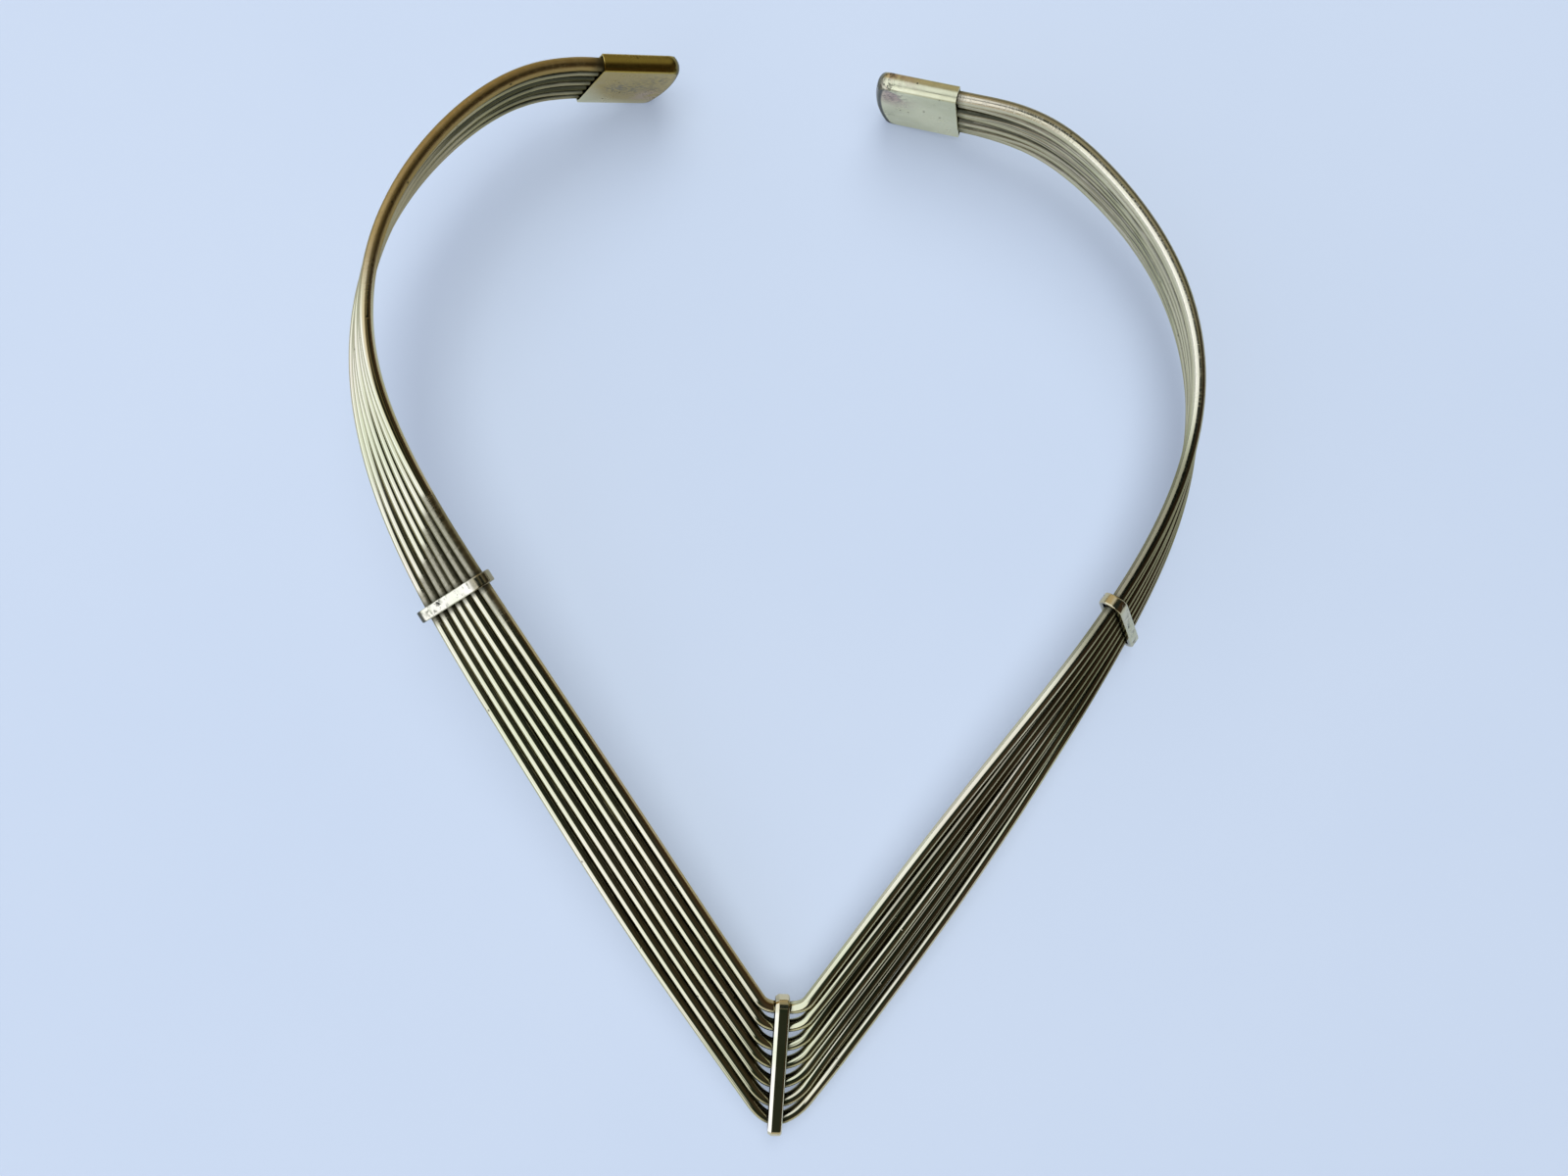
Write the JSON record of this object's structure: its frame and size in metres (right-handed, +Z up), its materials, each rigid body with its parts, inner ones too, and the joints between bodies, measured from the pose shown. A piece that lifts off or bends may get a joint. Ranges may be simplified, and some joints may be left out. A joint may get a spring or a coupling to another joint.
{
  "type": "choker",
  "caption": "Rigid V-shaped collar choker: slim round metal wires side by side, held by a centre bar and side clips, with flat end caps and an open back.",
  "frame": {"origin": "on the resting surface, under the middle of the part's bounding box", "axes": "+Z up from the resting surface; +Y from the point of the V towards the open back; +X to the right seen from above"},
  "size_m": [0.1215, 0.1577, 0.0264],
  "materials": {
    "wires": "polished, pale gold with dark tarnish between the wires",
    "straps": "polished, dented and pitted",
    "caps": "satin, olive gold with scratches and tarnish spots"
  },
  "bodies": {
    "root": {"wire_1": "wires", "wire_2": "wires", "wire_3": "wires", "wire_4": "wires", "wire_5": "wires", "wire_6": "wires", "wire_7": "wires", "centre_bar": "straps", "left_clip": "straps", "right_clip": "straps", "left_cap": "caps", "right_cap": "caps"}
  },
  "joints": []
}
